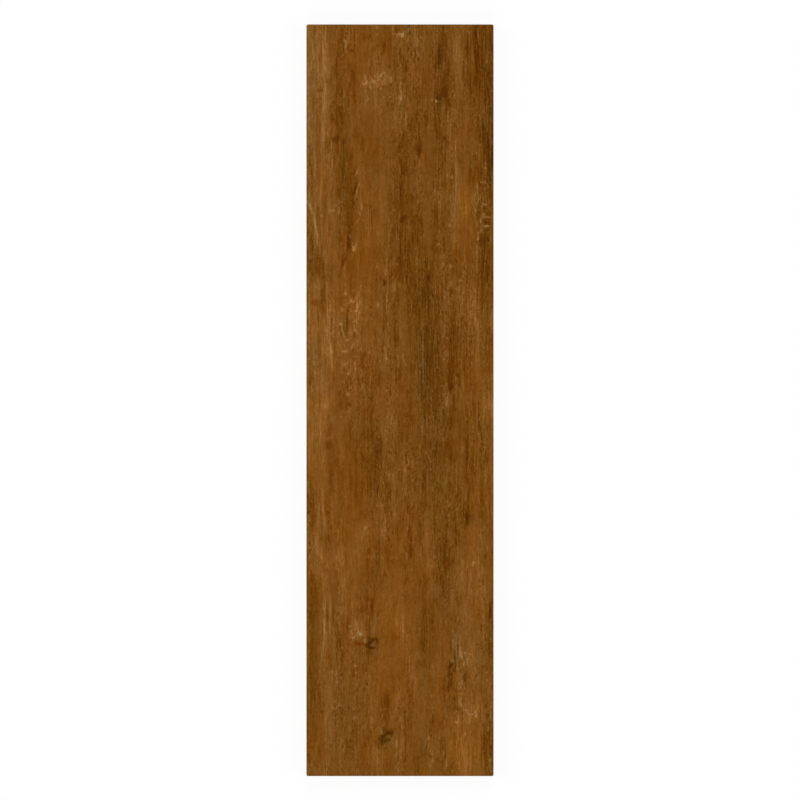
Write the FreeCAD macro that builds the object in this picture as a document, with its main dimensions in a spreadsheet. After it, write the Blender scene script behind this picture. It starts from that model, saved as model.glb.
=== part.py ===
import FreeCAD, Part
import os

import PartDesign
import Sketcher

# A pressed and fired porcelain floor tile in plank format, lying face up on its keyed back.
# Frame: millimetres, +Z up through the face, +Y along the plank, +X across it.
# The origin is the middle of the plane that the back's border and ribs lie in.

NODE = "plank_tile"

# Each driving dimension: its name, its value and what it is. Lengths are in mm, angles in degrees.
SIZES = [
    ("face_width", 149.4, "across the face, edge to edge"),
    ("face_length", 600.0, "along the face, end to end"),
    ("thickness", 8.5, "from the back plane to the glazed face"),
    ("corner_radius", 1.2, "the four upright corners, seen from above"),
    ("arris_radius", 0.6, "the eased edge that the glaze runs over"),
    ("wall_draft", 1.0, "how far the walls lean in towards the back"),
    ("back_bevel", 0.8, "the bevel round the back that keeps it clear of the joint"),
    ("key_pitch", 21.0, "from the middle of one mortar key to the next in its row"),
    ("rib_width", 2.6, "the rib left standing between two keys"),
    ("key_depth", 0.7, "how deep the keys are pressed into the back"),
    ("key_draft", 30.0, "how far the keys' walls lean, so that the punch lifts out"),
    ("least_border", 5.0, "the plain border round the keys is never narrower"),
]

# The six-sided keys stand in rows across the tile, every second row shifted by half a key.
HALF_KEY = "(sizes.key_pitch / 2)"
ROW_PITCH = "(sqrt(3) * sizes.key_pitch / 2)"
ACROSS_FLATS = "(sizes.key_pitch - sizes.rib_width)"
POINT_TO_POINT = f"(2 * {ACROSS_FLATS} / sqrt(3))"

# The room for the keys between the borders, and how many keys and pairs of rows fill it.
ROOM_ACROSS = "(sizes.face_width - 2 * sizes.least_border)"
ROOM_ALONG = "(sizes.face_length - 2 * sizes.least_border)"
KEYS_IN_ROW = f"floor(({ROOM_ACROSS} + sizes.rib_width - {HALF_KEY}) / sizes.key_pitch)"
PAIRS_OF_ROWS = f"floor(({ROOM_ALONG} - {POINT_TO_POINT} + {ROW_PITCH}) / (2 * {ROW_PITCH}))"


def make_sizes(doc):
    """The spreadsheet of driving dimensions, one row each, with the name as the cell's alias."""
    sheet = doc.addObject("Spreadsheet::Sheet", "sizes")
    for row, (name, value, meaning) in enumerate(SIZES, start=1):
        sheet.set(f"A{row}", name)
        sheet.set(f"B{row}", str(value))
        sheet.set(f"C{row}", meaning)
        sheet.setAlias(f"B{row}", name)
    doc.recompute()
    return sheet


def origin_feature(body, role):
    """One of the body's own origin planes or axes."""
    return next(f for f in body.Origin.OriginFeatures if f.Role == role)


def flat_sketch(body, name):
    """A sketch that lies level in the body, on the plane of the tile's back."""
    sketch = body.newObject("Sketcher::SketchObject", name)
    sketch.AttachmentSupport = [(origin_feature(body, "XY_Plane"), "")]
    sketch.MapMode = "FlatFace"
    return sketch


def add_dimension(sketch, name, constraint, size):
    """A named dimension whose value is the expression size."""
    sketch.renameConstraint(sketch.addConstraint(constraint), name)
    sketch.setExpression(f"Constraints.{name}", size)


def draw_face_outline(sketch, sizes):
    """Four sides and four corner arcs, each tangent to the next, drawn at size and then bound to it."""
    half_x, half_y, r = sizes.face_width / 2, sizes.face_length / 2, sizes.corner_radius
    quarter = FreeCAD.Units.Quantity("90 deg").getValueAs("rad")
    arcs = []
    for turn, (sx, sy) in enumerate([(1, 1), (-1, 1), (-1, -1), (1, -1)]):
        centre = FreeCAD.Vector(sx * (half_x - r), sy * (half_y - r), 0)
        circle = Part.Circle(centre, FreeCAD.Vector(0, 0, 1), r)
        arc = Part.ArcOfCircle(circle, turn * quarter, (turn + 1) * quarter)
        arcs.append(sketch.addGeometry(arc, False))
    sides = []
    for arc, following in zip(arcs, arcs[1:] + arcs[:1]):
        leaves = sketch.Geometry[arc].EndPoint
        arrives = sketch.Geometry[following].StartPoint
        side = sketch.addGeometry(Part.LineSegment(leaves, arrives), False)
        # Point 1 of a curve is its start, point 2 its end and point 3 an arc's centre.
        sketch.addConstraint(Sketcher.Constraint("Tangent", arc, 2, side, 1))
        sketch.addConstraint(Sketcher.Constraint("Tangent", side, 2, following, 1))
        sides.append(side)
    top, left, bottom, right = sides
    for side in (top, bottom):
        sketch.addConstraint(Sketcher.Constraint("Horizontal", side))
    for side in (left, right):
        sketch.addConstraint(Sketcher.Constraint("Vertical", side))
    for arc in arcs[1:]:
        sketch.addConstraint(Sketcher.Constraint("Equal", arcs[0], arc))
    # The sketch's own origin is point 1 of geometry -1.
    sketch.addConstraint(Sketcher.Constraint("Symmetric", arcs[0], 3, arcs[2], 3, -1, 1))
    corner = Sketcher.Constraint("Radius", arcs[0], r)
    across = Sketcher.Constraint("DistanceX", left, 1, right, 1, 2 * half_x)
    along = Sketcher.Constraint("DistanceY", bottom, 1, top, 1, 2 * half_y)
    add_dimension(sketch, "corner", corner, "sizes.corner_radius")
    add_dimension(sketch, "across", across, "sizes.face_width")
    add_dimension(sketch, "along", along, "sizes.face_length")


def draw_step_to_next_row(sketch, sizes):
    """The line from a key's middle to that of its neighbour in the next row."""
    start = FreeCAD.Vector()
    end = FreeCAD.Vector(0.5 * sizes.key_pitch, 0.9 * sizes.key_pitch, 0)
    step = sketch.addGeometry(Part.LineSegment(start, end), False)
    sketch.addConstraint(Sketcher.Constraint("Coincident", step, 1, -1, 1))
    add_dimension(sketch, "shift", Sketcher.Constraint("DistanceX", step, 1, step, 2, end.x), HALF_KEY)
    add_dimension(sketch, "row", Sketcher.Constraint("DistanceY", step, 1, step, 2, end.y), ROW_PITCH)


def lies_level(item, height):
    """Whether an edge or a face lies level at that height."""
    near = 1e-4
    return abs(item.BoundBox.ZMin - height) < near and abs(item.BoundBox.ZMax - height) < near


def level_edges(shape, height):
    """The names of the edges that lie level at that height."""
    return [f"Edge{n}" for n, edge in enumerate(shape.Edges, start=1) if lies_level(edge, height)]


def upright_faces(shape):
    """The names of the faces that stand between the shape's foot and its top."""
    tall = 0.9 * shape.BoundBox.ZLength
    return [f"Face{n}" for n, face in enumerate(shape.Faces, start=1) if face.BoundBox.ZLength > tall]


def press_biscuit(doc, body, sizes):
    """The tile's plain block, pressed to size: full width at the face and drawn in to the back."""
    outline = flat_sketch(body, "face_outline")
    outline.setExpression("AttachmentOffset.Base.z", "sizes.thickness")
    draw_face_outline(outline, sizes)
    biscuit = body.newObject("PartDesign::Pad", "biscuit")
    biscuit.Profile = outline
    biscuit.Reversed = True
    biscuit.setExpression("Length", "sizes.thickness")
    biscuit.setExpression("TaperAngle", "-sizes.wall_draft")
    doc.recompute()
    return biscuit


def bevel_back(doc, body, before):
    """The bevel round the back, where the press box closes."""
    bevel = body.newObject("PartDesign::Chamfer", "back_edge_bevel")
    bevel.Base = (before, level_edges(before.Shape, 0.0))
    bevel.setExpression("Size", "sizes.back_bevel")
    doc.recompute()
    return bevel


def ease_arris(doc, body, before, sizes):
    """The small round along the face's edge, which the glaze covers."""
    arris = body.newObject("PartDesign::Fillet", "arris")
    arris.Base = (before, level_edges(before.Shape, sizes.thickness))
    arris.setExpression("Radius", "sizes.arris_radius")
    doc.recompute()
    return arris


def repeat_whole(body, name):
    """A pattern feature that repeats all that the body holds so far, and sets its own reach."""
    pattern = body.newObject("PartDesign::LinearPattern", name)
    pattern.TransformMode = "Whole shape"
    pattern.Mode = pattern.Mode2 = "Extent"
    body.Tip = pattern
    return pattern


def make_punch(doc, sizes):
    """The press's lower punch: a honeycomb of raised, drafted pads that leave the keys in the back."""
    punch = doc.addObject("PartDesign::Body", "key_punch")
    punch.AllowCompound = True

    pad = punch.newObject("PartDesign::AdditivePrism", "pad")
    pad.AttachmentSupport = [(origin_feature(punch, "XY_Plane"), "")]
    pad.MapMode = "FlatFace"
    # Turned so that two of the six sides run along the tile, and moved to the honeycomb's first corner.
    pad.AttachmentOffset = FreeCAD.Placement(FreeCAD.Vector(), FreeCAD.Rotation(30, 0, 0))
    first_x = f"-({KEYS_IN_ROW} - 1) * sizes.key_pitch / 2 - {HALF_KEY} / 2"
    first_y = f"-(2 * {PAIRS_OF_ROWS} - 1) * {ROW_PITCH} / 2"
    pad.setExpression("AttachmentOffset.Base.x", first_x)
    pad.setExpression("AttachmentOffset.Base.y", first_y)
    pad.Polygon = 6
    pad.setExpression("Circumradius", f"{POINT_TO_POINT} / 2")
    pad.setExpression("Height", "sizes.key_depth")
    doc.recompute()

    leaning = punch.newObject("PartDesign::Draft", "leaning_walls")
    leaning.Base = (pad, upright_faces(pad.Shape))
    leaning.NeutralPlane = (origin_feature(punch, "XY_Plane"), [""])
    leaning.setExpression("Angle", "sizes.key_draft")
    doc.recompute()

    step = flat_sketch(punch, "step_to_next_row")
    draw_step_to_next_row(step, sizes)
    pair = repeat_whole(punch, "pair_of_pads")
    pair.Direction = (step, ["Edge1"])
    pair.setExpression("Length", "sizes.key_pitch")
    pair.Occurrences = 2
    doc.recompute()

    honeycomb = repeat_whole(punch, "honeycomb")
    honeycomb.Direction = (origin_feature(punch, "X_Axis"), [""])
    honeycomb.Direction2 = (origin_feature(punch, "Y_Axis"), [""])
    honeycomb.setExpression("Length", f"({KEYS_IN_ROW} - 1) * sizes.key_pitch")
    honeycomb.setExpression("Length2", f"({PAIRS_OF_ROWS} - 1) * 2 * {ROW_PITCH}")
    honeycomb.setExpression("Occurrences", KEYS_IN_ROW)
    honeycomb.setExpression("Occurrences2", PAIRS_OF_ROWS)
    doc.recompute()
    expected = pair.Occurrences * honeycomb.Occurrences * honeycomb.Occurrences2
    if len(punch.Shape.Solids) != expected:
        raise RuntimeError(f"the punch has {len(punch.Shape.Solids)} pads where {expected} were laid out")
    return punch


def press_keys(doc, body, sizes):
    """The keys that the punch leaves in the back, each with leaning walls and a flat floor."""
    punch = make_punch(doc, sizes)
    keyed = body.newObject("PartDesign::Boolean", "mortar_keys")
    keyed.Type = "Cut"
    keyed.setObjects([punch])
    body.Tip = keyed
    doc.recompute()
    floors = sum(lies_level(face, sizes.key_depth) for face in keyed.Shape.Faces)
    if floors != len(punch.Shape.Solids):
        raise RuntimeError(f"{floors} keys were pressed by {len(punch.Shape.Solids)} pads")
    return keyed


def make_tile(doc, sizes):
    """The whole tile, one fired piece."""
    body = doc.addObject("PartDesign::Body", NODE)
    body.Label = NODE
    biscuit = press_biscuit(doc, body, sizes)
    bevel = bevel_back(doc, body, biscuit)
    arris = ease_arris(doc, body, bevel, sizes)
    keyed = press_keys(doc, body, sizes)
    # Every step takes material away, so a step that cut nothing has gone the wrong way.
    steps = [biscuit, bevel, arris, keyed]
    for before, after in zip(steps, steps[1:]):
        if not after.Shape.Volume < before.Shape.Volume:
            raise RuntimeError(f"{after.Name} removed nothing from {before.Name}")
    return body


def check(doc, bodies):
    """Stops the build if a feature failed or a sub-part isn't one valid closed solid."""
    for item in doc.Objects:
        if "Invalid" in item.State or "Error" in item.State:
            raise RuntimeError(f"{item.Name} failed: {item.State}")
    for body in bodies:
        shape = body.Shape
        if shape.isNull() or not shape.isValid() or len(shape.Solids) != 1:
            raise RuntimeError(f"{body.Label} isn't one valid solid")


def write_parts(bodies):
    """One STEP file for each sub-part, named by its label."""
    os.makedirs("parts", exist_ok=True)
    for body in bodies:
        body.Shape.exportStep(os.path.join("parts", f"{body.Label}.step"))
        box = body.Shape.BoundBox
        print(f"{body.Label}: {box.XLength:.2f} x {box.YLength:.2f} x {box.ZLength:.2f} mm,"
              f" {body.Shape.Volume / 1000:.2f} cm3, {len(body.Shape.Faces)} faces")


doc = FreeCAD.newDocument("plank_tile")
sizes = make_sizes(doc)
bodies = [make_tile(doc, sizes)]
doc.recompute()
check(doc, bodies)
write_parts(bodies)
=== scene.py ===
import bpy
import numpy as np
from mathutils.geometry import delaunay_2d_cdt
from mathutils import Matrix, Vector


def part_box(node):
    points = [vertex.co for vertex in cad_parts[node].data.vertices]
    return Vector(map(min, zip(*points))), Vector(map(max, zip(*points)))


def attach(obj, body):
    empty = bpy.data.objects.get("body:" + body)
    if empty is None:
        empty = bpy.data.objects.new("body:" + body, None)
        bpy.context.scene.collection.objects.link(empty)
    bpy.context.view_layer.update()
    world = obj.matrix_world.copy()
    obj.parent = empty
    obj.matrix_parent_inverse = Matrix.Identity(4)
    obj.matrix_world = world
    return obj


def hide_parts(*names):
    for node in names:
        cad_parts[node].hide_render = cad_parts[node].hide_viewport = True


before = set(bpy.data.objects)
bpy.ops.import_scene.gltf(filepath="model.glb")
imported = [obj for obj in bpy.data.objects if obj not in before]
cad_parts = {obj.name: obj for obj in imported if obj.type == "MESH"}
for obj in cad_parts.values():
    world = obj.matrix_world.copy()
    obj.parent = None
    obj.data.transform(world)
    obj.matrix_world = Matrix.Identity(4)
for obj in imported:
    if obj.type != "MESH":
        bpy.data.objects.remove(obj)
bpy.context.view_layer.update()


# The plank is one pressed porcelain tile, fired once. The glaze eases its edge, its walls lean with the die,
# and its back is bevelled and pressed with a honeycomb of mortar keys that the adhesive fills. It is one
# closed skin: a grid of points for the face, rings carried round the wall, and a flat back with the keys.
MM = 0.001
low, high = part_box("plank_tile")
THICKNESS = (high.z - low.z) / MM
ARRIS = 0.6
FLAT_HALF_WIDTH = (high.x - low.x) / 2 / MM - ARRIS
FLAT_HALF_LENGTH = (high.y - low.y) / 2 / MM - ARRIS
FLAT_CORNER, CORNER_LINE = 0.589, 0.25
COLUMNS, ROWS = 186, 372
WALL_LEAN, WALL_TOP = np.tan(np.radians(1.0)), 0.6106
GLAZE_FOOT, BEVEL, BEVEL_RUN = 5.4, 0.8, 0.814


def grid_lines(half, count):
    """Lines from one side to the other: two close ones at each rounded corner, and even ones between."""
    inner = np.linspace(FLAT_CORNER - half, half - FLAT_CORNER, count)
    return np.concatenate([[-half, CORNER_LINE - half], inner, [half - CORNER_LINE, half]])


def carried_out(x, y, reach):
    """A point of the outline moved straight out by reach: c + (r + reach) n, where c is the nearest point of
    the rectangle that the corners' centres span, r is a corner's radius, and n points from c to the point."""
    cx = np.clip(x, FLAT_CORNER - FLAT_HALF_WIDTH, FLAT_HALF_WIDTH - FLAT_CORNER)
    cy = np.clip(y, FLAT_CORNER - FLAT_HALF_LENGTH, FLAT_HALF_LENGTH - FLAT_CORNER)
    away = np.hypot(x - cx, y - cy)
    return cx + (FLAT_CORNER + reach) * (x - cx) / away, cy + (FLAT_CORNER + reach) * (y - cy) / away


def facets(grid):
    """The four-sided facets of a grid of point numbers, over its last two directions."""
    near, far = grid[..., :-1, :], grid[..., 1:, :]
    return np.stack([near[..., :-1], far[..., :-1], far[..., 1:], near[..., 1:]], -1).reshape(-1, 4)


columns = grid_lines(FLAT_HALF_WIDTH, COLUMNS)
rows = grid_lines(FLAT_HALF_LENGTH, ROWS)
face_x, face_y = (part.ravel() for part in np.meshgrid(columns, rows, indexing="ij"))
number = np.arange(face_x.size).reshape(len(columns), len(rows))
rim = np.concatenate([number[:-1, 0], number[-1, :-1], number[:0:-1, -1], number[0, :0:-1]])
face_x[rim], face_y[rim] = carried_out(face_x[rim], face_y[rim], 0.0)

# Four rings round the eased edge, then the glaze's foot, the bevel's top and the back.
turn = np.radians([66.0, 42.0, 19.0, -1.0])
ring_reach = np.concatenate([ARRIS * np.cos(turn), [0, 0, 0]])
ring_height = np.concatenate([THICKNESS - ARRIS + ARRIS * np.sin(turn), [GLAZE_FOOT, BEVEL, 0.0]])
ring_reach[4:] = WALL_TOP - (THICKNESS - ring_height[4:]) * WALL_LEAN
ring_reach[6] = ring_reach[5] - BEVEL_RUN
ring_x, ring_y = carried_out(face_x[rim][None, :], face_y[rim][None, :], ring_reach[:, None])
ring_z = np.repeat(ring_height[:, None], len(rim), axis=1)
rings = np.vstack([rim[None, :], face_x.size + np.arange(ring_x.size).reshape(ring_x.shape)])
rings = np.hstack([rings, rings[:, :1]])

KEY_PITCH, KEY_HALF, KEY_DEPTH, KEY_CUT, KEY_LIP = 21.0, 9.2, 0.7, 0.5, 0.05
KEY_ROWS, KEYS_IN_ROW = 32, 6
row_pitch = KEY_PITCH * np.cos(np.radians(30.0))


def key_outline(half):
    """Twelve points round a six-sided key whose flats are half away from its centre, with its corners cut a
    little: each corner moved by the cut towards its two neighbours."""
    corner = np.radians(30.0 + 60.0 * np.arange(6))
    point = np.stack([np.cos(corner), np.sin(corner)], 1) * half / np.cos(np.radians(30.0))
    back, on = np.roll(point, 1, axis=0), np.roll(point, -1, axis=0)
    side = np.linalg.norm(on - point, axis=1, keepdims=True)
    cuts = [point + KEY_CUT * (back - point) / side, point + KEY_CUT * (on - point) / side]
    return np.stack(cuts, 1).reshape(12, 2)


in_row, which_row = (part.ravel() for part in np.meshgrid(np.arange(KEYS_IN_ROW), np.arange(KEY_ROWS)))
key_x = KEY_PITCH * (in_row - (KEYS_IN_ROW - 0.5) / 2 + 0.5 * (which_row % 2))
key_y = row_pitch * (which_row - (KEY_ROWS - 1) / 2)
key_profile = np.array([[KEY_HALF + KEY_LIP, 0.0], [KEY_HALF - KEY_LIP, 0.07], [KEY_HALF - 0.36, 0.62],
                        [KEY_HALF - 0.5, KEY_DEPTH]])
key_rings = np.stack([key_outline(half) for half in key_profile[:, 0]])
key_points = np.zeros((len(key_x), len(key_profile), 12, 3))
key_points[..., :2] = key_rings[None] + np.stack([key_x, key_y], 1)[:, None, None, :]
key_points[..., 2] = key_profile[None, :, None, 1]
key_base = face_x.size + ring_x.size
key_number = key_base + np.arange(key_points[..., 0].size).reshape(key_points.shape[:3])
key_number = np.concatenate([key_number, key_number[..., :1]], 2)
floor_points = np.stack([key_x, key_y, np.full(len(key_x), KEY_DEPTH)], 1)
floor_number = key_base + key_points[..., 0].size + np.arange(len(key_x))

# The back's flat part is filled between the outer ring and the outlines of the keys.
loop = len(rim)
outline = np.concatenate([np.stack([ring_x[-1], ring_y[-1]], 1), key_points[:, 0, :, :2].reshape(-1, 2)])
real_number = np.concatenate([rings[-1, :-1], key_number[:, 0, :-1].ravel()])
outer_edges = np.stack([np.arange(loop), np.roll(np.arange(loop), -1)], 1)
turns = loop + np.arange(12 * len(key_x)).reshape(-1, 12)
key_edges = np.stack([turns, np.roll(turns, -1, axis=1)], 2).reshape(-1, 2)
filled = delaunay_2d_cdt(outline.tolist(), np.concatenate([outer_edges, key_edges]).tolist(), [], 0, 1e-6)
back = np.array(filled[2])
origin = np.array([found[0] for found in filled[3]])
middle = np.array([tuple(point) for point in filled[0]])[back].mean(1)
nearest_row = np.clip(np.round(middle[:, 1] / row_pitch + (KEY_ROWS - 1) / 2), 0, KEY_ROWS - 1)


def inside_key(x, y, row):
    """True where a point is in a key of that row: within its half across all three pairs of flats."""
    shift = KEY_PITCH * (0.5 * (row % 2) - (KEYS_IN_ROW - 0.5) / 2)
    place = np.clip(np.round((x - shift) / KEY_PITCH), 0, KEYS_IN_ROW - 1)
    dx, dy = x - shift - KEY_PITCH * place, y - row_pitch * (row - (KEY_ROWS - 1) / 2)
    flats = [np.abs(dx * np.cos(a) + dy * np.sin(a)) for a in np.radians([0.0, 60.0, 120.0])]
    return np.max(flats, axis=0) < KEY_HALF + KEY_LIP


in_key = np.zeros(len(back), bool)
for step in (-1, 0, 1):
    in_key |= inside_key(middle[:, 0], middle[:, 1], np.clip(nearest_row + step, 0, KEY_ROWS - 1))
back = real_number[origin[back[~in_key]]][:, ::-1]

face_quads, ring_quads, key_quads = facets(number), facets(rings), facets(key_number)[:, ::-1]
key_floor = np.stack([key_number[:, -1, 1:], key_number[:, -1, :-1],
                      np.repeat(floor_number[:, None], 12, axis=1)], -1).reshape(-1, 3)


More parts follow.
